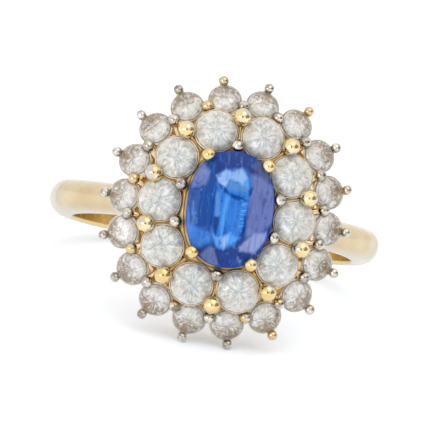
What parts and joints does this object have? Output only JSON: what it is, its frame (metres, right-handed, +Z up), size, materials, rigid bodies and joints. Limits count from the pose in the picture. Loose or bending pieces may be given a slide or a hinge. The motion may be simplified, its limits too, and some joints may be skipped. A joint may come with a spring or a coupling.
{
  "type": "cluster ring",
  "caption": "Cluster ring worn on a finger: a large oval stone inside two tiers of small round stones, claw-set on a half-round shank, lying on its side.",
  "frame": {"origin": "on the surface the ring lies on, under the middle of its box", "axes": "+Z up from the surface; -Y towards the side that the stones face, which tilts up by about 18 degrees; +X across the finger, along the shank's width seen from the stones. The finger hole's axis leans back from +Z by the same angle"},
  "size_m": [0.0214, 0.0258, 0.0158],
  "materials": {
    "yellow_gold": "polished pale yellow gold of low carat",
    "white_claw_tips": "white-plated polished claw tips",
    "blue_stone": "faceted deep blue stone with violet flashes",
    "milky_white_stone": "faceted slightly milky white stone",
    "clear_white_stone": "faceted clear white stone"
  },
  "bodies": {
    "root": {"gold_mount": "yellow_gold", "centre_stone": "blue_stone", "inner_stone_01": "milky_white_stone", "inner_stone_02": "milky_white_stone", "inner_stone_03": "milky_white_stone", "inner_stone_04": "milky_white_stone", "inner_stone_05": "milky_white_stone", "inner_stone_06": "milky_white_stone", "inner_stone_07": "milky_white_stone", "inner_stone_08": "milky_white_stone", "inner_stone_09": "milky_white_stone", "inner_stone_10": "milky_white_stone", "outer_stone_01": "clear_white_stone", "outer_stone_02": "clear_white_stone", "outer_stone_03": "clear_white_stone", "outer_stone_04": "clear_white_stone", "outer_stone_05": "clear_white_stone", "outer_stone_06": "clear_white_stone", "outer_stone_07": "clear_white_stone", "outer_stone_08": "clear_white_stone", "outer_stone_09": "clear_white_stone", "outer_stone_10": "clear_white_stone", "outer_stone_11": "clear_white_stone", "outer_stone_12": "clear_white_stone", "outer_stone_13": "clear_white_stone", "outer_stone_14": "clear_white_stone", "outer_stone_15": "clear_white_stone", "outer_stone_16": "clear_white_stone", "outer_stone_17": "clear_white_stone", "outer_stone_18": "clear_white_stone"}
  },
  "joints": []
}
